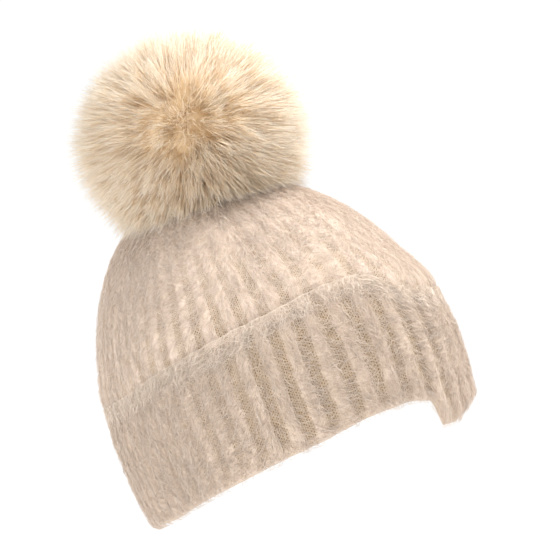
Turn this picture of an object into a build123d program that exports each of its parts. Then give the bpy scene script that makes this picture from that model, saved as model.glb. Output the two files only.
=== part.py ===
from build123d import *
import os
from math import cos, pi, radians, sin, sqrt

# Pom pom beanie: a rib-knit hat with a turned-up cuff and a snap-on fur pom pom.
#
# Frame: +Z up the crown axis, -Y to the front of the hat, +X to the wearer's left.
# The origin is the centre of the head opening, level with the lowest point of the brim.
# All sizes are in millimetres.

os.makedirs("parts", exist_ok=True)

# ---------------------------------------------------------------- driving dimensions

# The outside of the knitted body, as level ellipses from below the brim to the crown:
# height, half of the front-to-back length, and how far the middle leans back.
body_sections = [
    (-14, 88.5, 0),
    (12, 92.5, 0),
    (36, 94.5, 0),
    (58, 95, 1),
    (76, 93.5, 2.5),
    (92, 89, 5),
    (106, 82, 8),
    (118, 74, 11),
    (128.5, 65, 13.5),
    (137, 55.5, 15.5),
    (143.5, 45, 15.5),
    (147, 34, 14),
]
width_share = 0.875          # side-to-side width over front-to-back length
knit_layer = 3.5             # thickness of the body's knit
layer_gap = 0.3              # between the body and the turned-up cuff
cuff_layer = 4.0             # thickness of the cuff's knit
cuff_height = 60             # from the brim to the cuff's top edge
fold_height = 5.0            # height of the fold that joins the two layers
fold_rounding = 3.2
cuff_edge_rounding = 1.4

# The brim rises from the back right of the hat to the front left, along a line at this
# angle from +X. Heights of its edge at this reach either way from the middle.
brim_direction = -32
brim_reach = 110
brim_low = -12.3
brim_middle = 20.2
brim_high = 9.5

# Gathered crown, closed behind a felt washer
crown_y = 6                  # the crown's centre is a little behind the origin
crown_hole_radius = 2.6
gather_ring_radius = 14.5
gather_yarn_radius = 1.1
washer_radius = 11
washer_thickness = 2.0
washer_hole_radius = 2.0
stitch_count = 12
stitch_radius = 0.45
stitch_inner_radius = 8.4

# Centre-back seam and its loop label
seam_width = 5.0
seam_depth = 3.0
seam_start = 17
seam_end = 136
label_length = 24            # from the seam to the folded end
label_height = 28
label_ply = 0.4
label_gap = 0.5
label_bottom = 48
label_hinge_y = 87.8
label_rest_angle = 15        # how far the label stands off the side-to-side direction

# Press stud on the crown
stud_flange_radius = 6.2
stud_flange_height = 1.0
stud_neck_radius = 2.3
stud_head_radius = 3.0
stud_head_height = 1.9
stud_head_rounding = 0.6
stud_height = 4.2
post_radius = 1.6
post_clearance = 0.02
cap_radius = 7.0
cap_height = 1.4
cap_rounding = 0.6

# Press-stud socket under the pom pom
socket_clearance = 0.4
socket_radius = 7.6
socket_height = 4.6
socket_mouth_radius = 3.5
socket_cavity_radius = 4.4
socket_lip = 0.6
socket_roof = 0.9
socket_rounding = 0.8
spring_ring_radius = 3.9
spring_wire_radius = 0.3
spring_gap_angle = 20        # the spring is a ring split by this much
disc_radius = 15
disc_thickness = 1.6
disc_hole_radius = 2.0

# Pom pom: stuffing, pelt and fur
pelt_clearance = 0.6
pelt_radius = 23
pelt_thickness = 1.2
pelt_opening_radius = 8.6
pelt_recess_height = 3.5      # hollow in the stuffing over the socket cap
draw_cord_ring_radius = 9.8
draw_cord_radius = 0.8
fur_radius = 56.5
fur_floor_gap = 5.5          # from the crown to the flat underside of the fur
fur_inner_radius = 17.5      # the fur stands clear of the base disc

# ---------------------------------------------------------------- shared shapes


def moved_sections(sections, distance):
    """The sections moved square to the knit's surface by this distance, outwards if positive."""
    moved = []
    for index, (height, reach, lean) in enumerate(sections):
        below = sections[max(index - 1, 0)]
        above = sections[min(index + 1, len(sections) - 1)]
        rise = above[0] - below[0]
        spread = above[1] - below[1]
        slope_length = sqrt(rise ** 2 + spread ** 2)
        outward = distance * rise / slope_length
        upward = -distance * spread / slope_length
        moved.append((height + upward, reach, lean, outward))
    return moved


def knit_shape(sections, distance):
    """A solid through the level ellipses, moved square to its surface by this distance."""
    with BuildPart() as shape:
        for height, reach, lean, outward in moved_sections(sections, distance):
            with BuildSketch(Plane.XY.offset(height)):
                with Locations((0, lean)):
                    Ellipse(width_share * reach + outward, reach + outward)
        loft()
    return shape.part


def below_brim(raised_by):
    """Everything under the brim's curved edge, raised by this much."""
    deep = -80
    turn = radians(brim_direction)
    brim_plane = Plane(
        origin=(0, 0, 0), x_dir=(cos(turn), sin(turn), 0), z_dir=(sin(turn), -cos(turn), 0)
    )
    with BuildPart() as under:
        with BuildSketch(brim_plane):
            with BuildLine():
                start = (-brim_reach, brim_low + raised_by)
                middle = (0, brim_middle + raised_by)
                end = (brim_reach, brim_high + raised_by)
                edge = ThreePointArc(start, middle, end)
                tail = edge % 1
                nose = edge % 0
                past_end = Vector(brim_reach, brim_high + raised_by) + tail * 60
                before_start = Vector(-brim_reach, brim_low + raised_by) - nose * 60
                right_corner = (past_end.X, deep)
                left_corner = (before_start.X, deep)
                Polyline(end, past_end, right_corner, left_corner, before_start, start)
            make_face()
        extrude(amount=130, both=True)
    return under.part


def rims_by_height(knit):
    """The closed edges that run right round the hat, lowest first."""
    rims = knit.edges().filter_by(lambda edge: edge.is_closed)
    return rims.sort_by(lambda edge: edge.bounding_box().max.Z)


body_outside = knit_shape(body_sections, 0)
body_inside = knit_shape(body_sections, -knit_layer)
cuff_inside = knit_shape(body_sections, layer_gap)
cuff_outside = knit_shape(body_sections, layer_gap + cuff_layer)
fold_bottom = below_brim(0)
fold_top = below_brim(fold_height)
cuff_top = below_brim(cuff_height)

crown_top = body_sections[-1][0]
crown_underside = moved_sections(body_sections, -knit_layer)[-1][0]

# ---------------------------------------------------------------- knitted hat

# Body: one knitted tube, open at the head and gathered at the crown.
with BuildPart() as knit_body:
    add(body_outside)
    add(body_inside, mode=Mode.SUBTRACT)
    add(fold_top, mode=Mode.SUBTRACT)
    with Locations((0, crown_y, crown_top)):
        Hole(crown_hole_radius, depth=2 * knit_layer)
knit_body.part.label = "knit_body"
export_step(knit_body.part, "parts/knit_body.step")

# Turned-up cuff: the outer layer, with the rounded fold under both layers.
with BuildPart() as body_space:
    add(cuff_inside)
    add(fold_top, mode=Mode.SUBTRACT)
with BuildPart() as turn_up_cuff:
    add(cuff_outside)
    add(body_inside, mode=Mode.SUBTRACT)
    add(body_space.part, mode=Mode.SUBTRACT)
    add(cuff_top, mode=Mode.INTERSECT)
    add(fold_bottom, mode=Mode.SUBTRACT)
    fillet(rims_by_height(turn_up_cuff)[:2], fold_rounding)
    fillet(rims_by_height(turn_up_cuff)[-2:], cuff_edge_rounding)
turn_up_cuff.part.label = "turn_up_cuff"
export_step(turn_up_cuff.part, "parts/turn_up_cuff.step")

# Seam: the joined edges of the knit stand inwards as a narrow ridge at the centre back.
seam_inner_face = knit_shape(body_sections, -knit_layer - seam_depth)
with BuildPart() as back_seam:
    with BuildSketch(Plane.XY.offset(seam_start)):
        with Locations((0, 75)):
            Rectangle(seam_width, 90)
    extrude(amount=seam_end - seam_start)
    add(body_inside, mode=Mode.INTERSECT)
    add(seam_inner_face, mode=Mode.SUBTRACT)
back_seam.part.label = "back_seam"
export_step(back_seam.part, "parts/back_seam.step")

# Gathering yarn: a ring through the last row of loops, against the underside of the crown.
with BuildPart() as crown_gather:
    with Locations((0, crown_y, crown_underside - gather_yarn_radius)):
        Torus(gather_ring_radius, gather_yarn_radius)
crown_gather.part.label = "crown_gather"
export_step(crown_gather.part, "parts/crown_gather.step")

# Felt washer: spreads the pull of the press stud.
washer_bottom = crown_underside - washer_thickness
with BuildPart() as crown_backing:
    with BuildSketch(Plane.XY.offset(washer_bottom)):
        with Locations((0, crown_y)):
            Circle(washer_radius)
            Circle(washer_hole_radius, mode=Mode.SUBTRACT)
    extrude(amount=washer_thickness)
crown_backing.part.label = "crown_backing"
export_step(crown_backing.part, "parts/crown_backing.step")

# Stitches: each lies across the washer's edge and goes up into the knit beside it.
stitch_outer_radius = washer_radius + stitch_radius + 0.05
stitch_level = washer_bottom - stitch_radius
with BuildPart() as backing_stitches:
    for step in range(stitch_count):
        turn = 2 * pi * step / stitch_count
        across = Vector(cos(turn), sin(turn), 0)
        centre = Vector(0, crown_y, stitch_level)
        inner_end = centre + across * stitch_inner_radius
        corner = centre + across * stitch_outer_radius
        with BuildSketch(Plane(origin=inner_end, z_dir=across)):
            Circle(stitch_radius)
        extrude(amount=stitch_outer_radius - stitch_inner_radius)
        with Locations(corner):
            Sphere(stitch_radius)
        with BuildSketch(Plane(origin=corner, z_dir=(0, 0, 1))):
            Circle(stitch_radius)
        extrude(amount=crown_underside - stitch_level)
backing_stitches.part.label = "backing_stitches"
export_step(backing_stitches.part, "parts/backing_stitches.step")

# Loop label: a folded ribbon caught in the seam by both ends, with its fold at the free end.
label_direction = Vector(cos(radians(label_rest_angle)), -sin(radians(label_rest_angle)), 0)
label_half = label_ply + label_gap / 2
label_plane = Plane(
    origin=(0, label_hinge_y, label_bottom), x_dir=label_direction, z_dir=(0, 0, 1)
)
straight_length = label_length - label_half
with BuildPart() as care_label:
    with BuildSketch(label_plane):
        with Locations((straight_length / 2, 0)):
            Rectangle(straight_length, 2 * label_half)
            Rectangle(straight_length, label_gap, mode=Mode.SUBTRACT)
        with Locations((straight_length, 0)):
            Circle(label_half)
            Circle(label_gap / 2, mode=Mode.SUBTRACT)
        with Locations((straight_length - label_half / 2, 0)):
            Rectangle(label_half, label_gap, mode=Mode.SUBTRACT)
    extrude(amount=label_height)
care_label.part.label = "care_label"
export_step(care_label.part, "parts/care_label.step")

# ---------------------------------------------------------------- press stud

stud_plane = Plane(origin=(0, crown_y, crown_top), x_dir=(1, 0, 0), z_dir=(0, -1, 0))
snap_axis = Axis((0, crown_y, 0), (0, 0, 1))

# Cap: under the washer, with the post that holds the stud through knit and felt.
cap_top = washer_bottom - crown_top
with BuildPart() as stud_cap:
    with BuildSketch(stud_plane):
        with Locations((cap_radius / 2, cap_top - cap_height / 2)):
            Rectangle(cap_radius, cap_height)
        with Locations((post_radius / 2, (cap_top + stud_height / 2) / 2)):
            Rectangle(post_radius, stud_height / 2 - cap_top)
    revolve(axis=snap_axis)
    bottom_rim = stud_cap.edges().filter_by(GeomType.CIRCLE).sort_by(Axis.Z)[0]
    fillet(bottom_rim, cap_rounding)
stud_cap.part.label = "stud_cap"
export_step(stud_cap.part, "parts/stud_cap.step")

# Stud: a flange on the crown, a neck and a rounded head, bored for the cap's post.
with BuildPart() as snap_stud:
    with BuildSketch(stud_plane):
        with Locations((stud_flange_radius / 2, stud_flange_height / 2)):
            Rectangle(stud_flange_radius, stud_flange_height)
        with Locations((stud_neck_radius / 2, stud_height / 2)):
            Rectangle(stud_neck_radius, stud_height)
        with Locations((stud_head_radius / 2, stud_height - stud_head_height / 2)):
            Rectangle(stud_head_radius, stud_head_height)
    revolve(axis=snap_axis)
    rims = snap_stud.edges().filter_by(GeomType.CIRCLE)
    head_rims = [rim for rim in rims if abs(rim.radius - stud_head_radius) < 0.01]
    fillet(head_rims, stud_head_rounding)
    with BuildSketch(Plane.XY.offset(crown_top)):
        with Locations((0, crown_y)):
            Circle(post_radius + post_clearance)
    extrude(amount=stud_height / 2 + post_clearance, mode=Mode.SUBTRACT)
snap_stud.part.label = "snap_stud"
export_step(snap_stud.part, "parts/snap_stud.step")

# ---------------------------------------------------------------- socket and base disc

socket_bottom = crown_top + stud_flange_height + socket_clearance
socket_top = socket_bottom + socket_height

with BuildPart() as snap_socket:
    with BuildSketch(Plane.XY.offset(socket_bottom)):
        with Locations((0, crown_y)):
            Circle(socket_radius)
    extrude(amount=socket_height)
    lower_rim = snap_socket.edges().filter_by(GeomType.CIRCLE).sort_by(Axis.Z)[0]
    fillet(lower_rim, socket_rounding)
    with BuildSketch(Plane.XY.offset(socket_bottom)):
        with Locations((0, crown_y)):
            Circle(socket_mouth_radius)
    extrude(amount=socket_lip, mode=Mode.SUBTRACT)
    with BuildSketch(Plane.XY.offset(socket_bottom + socket_lip)):
        with Locations((0, crown_y)):
            Circle(socket_cavity_radius)
    extrude(amount=socket_height - socket_lip - socket_roof, mode=Mode.SUBTRACT)
    with BuildSketch(Plane.XY.offset(socket_top - socket_roof)):
        with Locations((0, crown_y)):
            Circle(disc_hole_radius)
    extrude(amount=socket_roof, mode=Mode.SUBTRACT)
snap_socket.part.label = "snap_socket"
export_step(snap_socket.part, "parts/snap_socket.step")

# Spring: a split wire ring that lies in the socket around the stud's neck.
spring_level = socket_bottom + socket_lip + spring_wire_radius + 0.1
spring_start = Plane(
    origin=(spring_ring_radius, crown_y, spring_level), x_dir=(1, 0, 0), z_dir=(0, 1, 0)
)
with BuildPart() as socket_spring:
    with BuildSketch(spring_start):
        Circle(spring_wire_radius)
    revolve(axis=snap_axis, revolution_arc=360 - spring_gap_angle)
socket_spring.part.label = "socket_spring"
export_step(socket_spring.part, "parts/socket_spring.step")

# Base disc: stiff plate that closes the pom pom and carries the socket.
with BuildPart() as pom_base_disc:
    with BuildSketch(Plane.XY.offset(socket_top)):
        with Locations((0, crown_y)):
            Circle(disc_radius)
            Circle(disc_hole_radius, mode=Mode.SUBTRACT)
    extrude(amount=disc_thickness)
    fillet(pom_base_disc.edges().filter_by(GeomType.CIRCLE).group_by(SortBy.RADIUS)[-1], 0.5)
pom_base_disc.part.label = "pom_base_disc"
export_step(pom_base_disc.part, "parts/pom_base_disc.step")

# Socket cap: clamps the disc to the socket with its post.
disc_top = socket_top + disc_thickness
socket_post_radius = disc_hole_radius - post_clearance
with BuildPart() as socket_cap:
    with BuildSketch(Plane.XY.offset(disc_top)):
        with Locations((0, crown_y)):
            Circle(cap_radius)
    extrude(amount=cap_height)
    upper_rim = socket_cap.edges().filter_by(GeomType.CIRCLE).sort_by(Axis.Z)[-1]
    fillet(upper_rim, cap_rounding)
    with BuildSketch(Plane.XY.offset(socket_top - socket_roof)):
        with Locations((0, crown_y)):
            Circle(socket_post_radius)
    extrude(amount=socket_roof + disc_thickness)
socket_cap.part.label = "socket_cap"
export_step(socket_cap.part, "parts/socket_cap.step")

# ---------------------------------------------------------------- pom pom

pom_centre = disc_top + pelt_clearance + pelt_radius
pom_place = (0, crown_y, pom_centre)
recess_top = disc_top + pelt_recess_height

# Draw cord: runs inside the pelt's edge, round its opening.
cord_surface = sqrt((pelt_radius - pelt_thickness) ** 2 - draw_cord_ring_radius ** 2)
cord_level = pom_centre - cord_surface + draw_cord_radius + 0.4
with BuildPart() as pelt_draw_cord:
    with Locations((0, crown_y, cord_level)):
        Torus(draw_cord_ring_radius, draw_cord_radius)
pelt_draw_cord.part.label = "pelt_draw_cord"
export_step(pelt_draw_cord.part, "parts/pelt_draw_cord.step")

# Pelt: a thin ball of skin, open underneath over the socket cap.
with BuildPart() as pom_pelt:
    with Locations(pom_place):
        Sphere(pelt_radius)
        Sphere(pelt_radius - pelt_thickness, mode=Mode.SUBTRACT)
    with BuildSketch(Plane.XY.offset(disc_top)):
        with Locations((0, crown_y)):
            Circle(pelt_opening_radius)
    extrude(amount=pelt_radius, mode=Mode.SUBTRACT)
pom_pelt.part.label = "pom_pelt"
export_step(pom_pelt.part, "parts/pom_pelt.step")

# Core: the stuffing, hollowed over the socket cap and grooved for the draw cord.
with BuildPart() as pom_core:
    with Locations(pom_place):
        Sphere(pelt_radius - pelt_thickness)
    with BuildSketch(Plane.XY.offset(disc_top)):
        with Locations((0, crown_y)):
            Circle(pelt_opening_radius)
    extrude(amount=recess_top - disc_top, mode=Mode.SUBTRACT)
    add(pelt_draw_cord.part, mode=Mode.SUBTRACT)
pom_core.part.label = "pom_core"
export_step(pom_core.part, "parts/pom_core.step")

# Fur: the space that the hair fills, flat underneath so that it clears the crown as it rocks.
fur_floor = crown_top + fur_floor_gap
with BuildPart() as pom_fur:
    with Locations(pom_place):
        Sphere(fur_radius)
        Sphere(pelt_radius, mode=Mode.SUBTRACT)
    split(bisect_by=Plane.XY.offset(fur_floor))
    with BuildSketch(Plane.XY.offset(fur_floor)):
        with Locations((0, crown_y)):
            Circle(fur_inner_radius)
    extrude(amount=pom_centre - fur_floor, mode=Mode.SUBTRACT)
pom_fur.part.label = "pom_fur"
export_step(pom_fur.part, "parts/pom_fur.step")
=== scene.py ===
import math
import bpy
import numpy as np
from mathutils import Matrix, Vector


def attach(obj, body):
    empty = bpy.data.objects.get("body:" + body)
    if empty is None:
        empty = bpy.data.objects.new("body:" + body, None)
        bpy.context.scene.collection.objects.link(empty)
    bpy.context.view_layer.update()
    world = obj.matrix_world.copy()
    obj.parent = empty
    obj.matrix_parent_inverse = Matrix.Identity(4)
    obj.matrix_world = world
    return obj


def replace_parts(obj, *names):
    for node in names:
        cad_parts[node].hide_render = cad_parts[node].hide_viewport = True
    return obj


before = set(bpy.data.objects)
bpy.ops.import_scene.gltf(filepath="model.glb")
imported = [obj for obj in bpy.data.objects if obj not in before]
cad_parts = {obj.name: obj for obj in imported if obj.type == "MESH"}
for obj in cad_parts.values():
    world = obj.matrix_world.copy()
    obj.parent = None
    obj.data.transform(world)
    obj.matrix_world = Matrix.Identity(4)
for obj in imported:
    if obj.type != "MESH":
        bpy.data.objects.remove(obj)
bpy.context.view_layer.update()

MM = 0.001
RIBS = 50                    # ribs round the hat
WALES = 6                    # knitted columns in one rib and groove
COURSE = 1.5                 # height of one knitted row, mm

# ---------------------------------------------------------------- shape of the hat, mm

# Height, half of the front-to-back length, and how far the middle leans back.
PROFILE = [
    (-14, 88.5, 0), (12, 92.5, 0), (36, 94.5, 0), (58, 95, 1), (76, 93.5, 2.5), (92, 89, 5),
    (106, 82, 8), (118, 74, 11), (128.5, 65, 13.5), (137, 55.5, 15.5), (143.5, 45, 15.5),
    (147, 34, 14), (148.6, 26, 11.5), (148.8, 19, 9), (148, 13, 7), (147, 8.5, 6), (146.9, 2.7, 6),
]
ROUND_TOP = 147.0            # above this height the profile turns over into the gathered crown
WIDTH = 0.875                # side-to-side width over front-to-back length
GIRTH = 560.0                # round the hat, to turn a sideways distance into a share of a turn
BRIM_HALF_WIDTH = 87
BRIM_HALF_LENGTH = 98
KNIT = 3.5                   # from the smooth profile in to the body's inside
CUFF_GAP = 0.3               # from the smooth profile out to the cuff's back
CUFF_KNIT = 2.8              # thickness of the cuff's knit, before it is drawn in at its ends and lip
CUFF_HEIGHT = 62             # from the brim up to the cuff's lip
FOLD = 5.0                   # height above the brim where the fold meets the body
CROWN_Y = 6                  # how far the crown and the pom pom are behind the opening's middle
POM_CENTRE = np.array([0, CROWN_Y, 178.2])
PELT_RADIUS = 23


def step(value, low, high):
    """A smooth rise from 0 at low to 1 at high."""
    t = np.clip((value - low) / (high - low), 0, 1)
    return t * t * (3 - 2 * t)


def smooth_line(points, steps):
    """A smooth curve through the points, evenly stepped along its first two columns. Returns the
    distance along the curve at each step and the points there."""
    points = np.asarray(points, float)
    at = np.r_[0, np.cumsum(np.hypot(*np.diff(points[:, :2], axis=0).T))]
    slope = np.gradient(points, at, axis=0)
    fine = np.linspace(0, at[-1], 3000)
    i = np.clip(np.searchsorted(at, fine, side="right") - 1, 0, len(at) - 2)
    gap = (at[i + 1] - at[i])[:, None]
    t = (fine - at[i])[:, None] / gap
    line = ((2 * t**3 - 3 * t**2 + 1) * points[i] + (t**3 - 2 * t**2 + t) * gap * slope[i]
            + (3 * t**2 - 2 * t**3) * points[i + 1] + (t**3 - t**2) * gap * slope[i + 1])
    run = np.r_[0, np.cumsum(np.hypot(*np.diff(line[:, :2], axis=0).T))]
    even = np.linspace(0, run[-1], steps)
    return even, np.stack([np.interp(even, run, column) for column in line.T], 1)


# A place on the profile is given by its run, the distance along it from its low end.
RUN, CURVE = smooth_line(PROFILE, 1200)
TANGENT = np.gradient(CURVE, RUN, axis=0)
TOP_RUN = RUN[-1]
LOWER = CURVE[:, 0] < ROUND_TOP
LOWER[np.argmax(~LOWER):] = False


def profile_at(run):
    """The profile's height, half length and lean at a run."""
    return [np.interp(run, RUN, CURVE[:, k]) for k in range(3)]


def slope_at(run):
    """How fast the profile's height and half length grow along it."""
    return [np.interp(run, RUN, TANGENT[:, k]) for k in range(2)]


def run_at_height(z):
    """The run at a height, below the round top."""
    return np.interp(z, CURVE[LOWER, 0], RUN[LOWER])


ANGLES = np.linspace(0, 2 * np.pi, 8 * 360 + 1)
ARC = np.r_[0, np.cumsum(np.hypot(WIDTH * np.diff(np.cos(ANGLES)), np.diff(np.sin(ANGLES))))]


def angle_at(turn):
    """The ellipse's angle at a fraction of the way round, measured along the ellipse."""
    return np.interp(np.mod(turn, 1.0), ARC / ARC[-1], ANGLES)


def on_hat(turn, run, out):
    """Points on the hat: fraction of the way round, distance up the profile, distance outwards."""
    angle = angle_at(turn)
    z, reach, lean = profile_at(run)
    rise, spread = slope_at(run)
    x = np.cos(angle) * (WIDTH * reach + out * rise)
    y = lean + np.sin(angle) * (reach + out * rise)
    return np.stack([x, y, z - out * spread], -1)


BRIM_ANGLE = math.radians(-32)   # the brim rises towards the front left, along this line


def along_brim(turn, inwards=0.0):
    """How far a point on the brim is along that line, mm."""
    angle = angle_at(turn)
    x = (BRIM_HALF_WIDTH - inwards) * np.cos(angle)
    y = (BRIM_HALF_LENGTH - inwards) * np.sin(angle)
    return x * math.cos(BRIM_ANGLE) + y * math.sin(BRIM_ANGLE)


def brim_at(turn):
    """Height of the brim's even line, which rises to the front left. lobe_at hangs below it."""
    far = along_brim(turn)
    even = 20.5 - ((far - 34) / 92) ** 2 * 12.5 - 1.2 * np.cos((far - 34) / 26)
    raised = 4.2 * np.exp(-((far - 41) / 25) ** 2) + 1.6 * np.exp(-((far - 58) / 8) ** 2)
    return even + raised - 1.2 * np.exp(-((far + 33) / 22) ** 2) + 2.2 * step(-far, 70, 90)


def lobe_at(turn, inwards=0.0):
    """How far the brim hangs down below its even line at its front-left end: with a sudden step on
    the front of the hat, and gradually on the side that faces the wearer's left."""
    far = along_brim(turn, inwards)
    angle = angle_at(turn)
    x, y = BRIM_HALF_WIDTH * np.cos(angle), BRIM_HALF_LENGTH * np.sin(angle)
    aside = x * -math.sin(BRIM_ANGLE) + y * math.cos(BRIM_ANGLE)
    side = step(aside, -30, 25)
    start = 66 + 9 * side
    return 12.6 * step(far, start, start + 3.2 + 15 * side) * (1 - 0.66 * step(far, 74, 92))


def at_height(turn, height, inwards=0.0):
    """The run of a level above the brim. The lobe's sag fades out 34 mm up, and the cuff's upper part
    comes down towards the front left."""
    sag = lobe_at(turn, inwards) * np.clip(1 - height / 34.0, 0, 1) ** 1.6
    drop = 12.0 * step(along_brim(turn), 50, 92) * step(height, 10, 60)
    return run_at_height(brim_at(turn) + height - sag - drop)


def waves(seed, count, round_max, up_max):
    """A smooth pattern round and up the hat, mostly between -1 and 1, the same each time."""
    rng = np.random.default_rng(seed)
    across = rng.integers(1, round_max + 1, count)
    up = rng.uniform(-up_max, up_max, count)
    phase = rng.uniform(0, 2 * np.pi, count)

    def value(turn, run):
        total = 0
        for k, m, p in zip(across, up, phase):
            total = total + np.sin(2 * np.pi * k * turn + m * run + p)
        return total / math.sqrt(count)

    return value


WOBBLE = waves(11, 7, 9, 0.09)       # lets the ribs wander
PUFF = waves(12, 9, 14, 0.12)        # small lumps
DENT = waves(13, 6, 5, 0.05)         # broad hollows


def rib(u):
    """Rounded ribs with shallow grooves, 1 on a rib and -1 in a groove."""
    return np.tanh(1.2 * np.cos(2 * np.pi * u)) / math.tanh(1.2)


RIB_STRETCH = 7.3            # how many fewer ribs there would be if all were stretched like the front's
RIB_START = -26.33


def rib_at(turn, run):
    """Counts ribs round the hat. They are stretched wider over the front and the back."""
    spread = RIB_STRETCH * np.sin(4 * np.pi * (turn - 0.75)) / (4 * np.pi)
    return RIBS * turn - spread + RIB_START + 0.05 * WOBBLE(turn, run)


def openness_cuff(turn, height):
    """How clearly the cuff's stitches show through the felted fibres, 0 to 1, which also sets how much
    painted shade its grooves get.
    """
    far = along_brim(turn)
    # More open across the front's middle, painting it darker with shade, and less open at the lip, which
    # keeps painted shade off the lip.
    middle = step(far, -62, 5) * (1 - step(far, 72, 86))
    return (0.3 + 0.85 * middle) * (1 - 0.8 * step(height, 57, 61)) * (0.6 + 0.4 * step(height, 4, 14))


def openness_body(turn, run):
    """The same for the body's stitches, which the fibres hide more and more towards the crown, so the
    body's painted groove shade fades towards the crown.
    """
    return 0.16 + 0.6 * (1 - step(run, run_at_height(84), run_at_height(134)))


def cuff_out(turn, height):
    """How far the cuff's outside stands off the smooth profile."""
    depth = 0.5 + 0.2 * (1 - step(height, 30, 60))
    at_ends = step(np.abs(along_brim(turn)), 52, 84)
    lip = -0.7 * step(height, 47, 61) - 1.0 * step(height, 40, 60) * at_ends
    out = CUFF_GAP + CUFF_KNIT + depth * rib(rib_at(turn, height))
    tucked = 0.7 * step(-along_brim(turn), 62, 90) * (1 - step(height, 2, 30)) ** 1.5
    tight = 1.3 * step(-along_brim(turn), 50, 88) + 0.1 * step(along_brim(turn), 55, 85)
    return out + 0.2 * PUFF(turn, height) + 0.3 * DENT(turn, 0.5 * height) + lip - tucked - tight


def body_out(turn, run):
    """How far the body's outside stands off the smooth profile. It is drawn in behind the cuff,
    bulges just over its lip and puckers where the crown is gathered."""
    above = run - at_height(turn, CUFF_HEIGHT)
    shown = step(above, -6, 3)
    full = 2.3 + 1.3 * step(along_brim(turn), 45, 82)
    bulge = full * np.exp(-np.clip(above - 6, 0, None) ** 2 / 260.0) * step(above, -5, 5)
    near_top = 1 - step(run, TOP_RUN - 45, TOP_RUN - 12)
    depth = 0.26 * near_top
    gather = 0.9 * step(run, TOP_RUN - 46, TOP_RUN - 26) * (1 - step(run, TOP_RUN - 12, TOP_RUN - 7))
    out = depth * rib(rib_at(turn, run)) + gather * np.cos(2 * np.pi * 24 * turn + 0.6 * WOBBLE(turn, run))
    puffs = (0.2 * PUFF(turn, run) + 0.5 * DENT(turn, run)) * near_top
    shoulder = np.exp(-((run - run_at_height(92)) / 14) ** 2)
    slim = 1.5 + 0.9 * step(along_brim(turn), 10, 60) * shoulder
    outside = (out - slim * near_top + puffs) * shown + bulge - 0.6 * (1 - shown)
    return np.where(above < -6, -0.6 + 0.4 * out, outside)


# ---------------------------------------------------------------- mesh making


def make_mesh(name, verts, faces, layers, material):
    """A mesh object from arrays. faces is a list of (count, corners) arrays and layers maps a UV
    layer's name to the UVs of all corners in order."""
    mesh = bpy.data.meshes.new(name)
    corners = np.concatenate([f.ravel() for f in faces])
    sizes = np.concatenate([np.full(len(f), f.shape[1]) for f in faces])
    mesh.vertices.add(len(verts))
    mesh.vertices.foreach_set("co", (np.asarray(verts) * MM).astype(np.float32).ravel())
    mesh.loops.add(len(corners))
    mesh.loops.foreach_set("vertex_index", corners.astype(np.int32))
    mesh.polygons.add(len(sizes))
    mesh.polygons.foreach_set("loop_start", np.r_[0, np.cumsum(sizes)[:-1]].astype(np.int32))
    mesh.polygons.foreach_set("loop_total", sizes.astype(np.int32))
    mesh.polygons.foreach_set("use_smooth", np.full(len(sizes), True))
    for layer, uv in layers.items():
        mesh.uv_layers.new(name=layer).data.foreach_set("uv", uv.astype(np.float32).ravel())
    mesh.update(calc_edges=True)
    piece = bpy.data.objects.new(name, mesh)
    bpy.context.scene.collection.objects.link(piece)
    mesh.materials.append(material)
    return piece


def ring_grid(points, knit_u, knit_v, shown, bake_v):
    """Faces and UVs of a knitted grid that closes both round (columns) and along (rows). Layer Knit
    counts ribs and mm of knit, and layer Open says how clearly the stitches show."""
    rows, cols = points.shape[:2]
    row, col = (index.ravel() for index in np.meshgrid(np.arange(rows), np.arange(cols), indexing="ij"))
    row_2, col_2 = (row + 1) % rows, (col + 1) % cols
    faces = np.stack([row * cols + col, row * cols + col_2, row_2 * cols + col_2, row_2 * cols + col], 1)
    beside = np.where(col_2 == 0, knit_u[row, 0] + RIBS, knit_u[row, col_2])
    beside_2 = np.where(col_2 == 0, knit_u[row_2, 0] + RIBS, knit_u[row_2, col_2])
    knit_across = np.stack([knit_u[row, col], beside, beside_2, knit_u[row_2, col]], 1)
    knit_along = np.stack([knit_v[row], knit_v[row], knit_v[row_2], knit_v[row_2]], 1)
    edges = np.r_[bake_v, 1.0]
    low, high = edges[row], edges[row + 1]
    across = np.stack([col, col + 1, col + 1, col], 1) / cols
    along = np.stack([low, low, high, high], 1)
    seen = np.stack([shown[row, col], shown[row, col_2], shown[row_2, col_2], shown[row_2, col]], 1)
    layers = {
        "Knit": np.stack([knit_across, knit_along], -1),
        "OFBake": np.stack([across, along], -1),
        "Open": np.stack([seen, seen], -1),
    }
    return faces, {name: uv.reshape(-1, 2) for name, uv in layers.items()}


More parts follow.
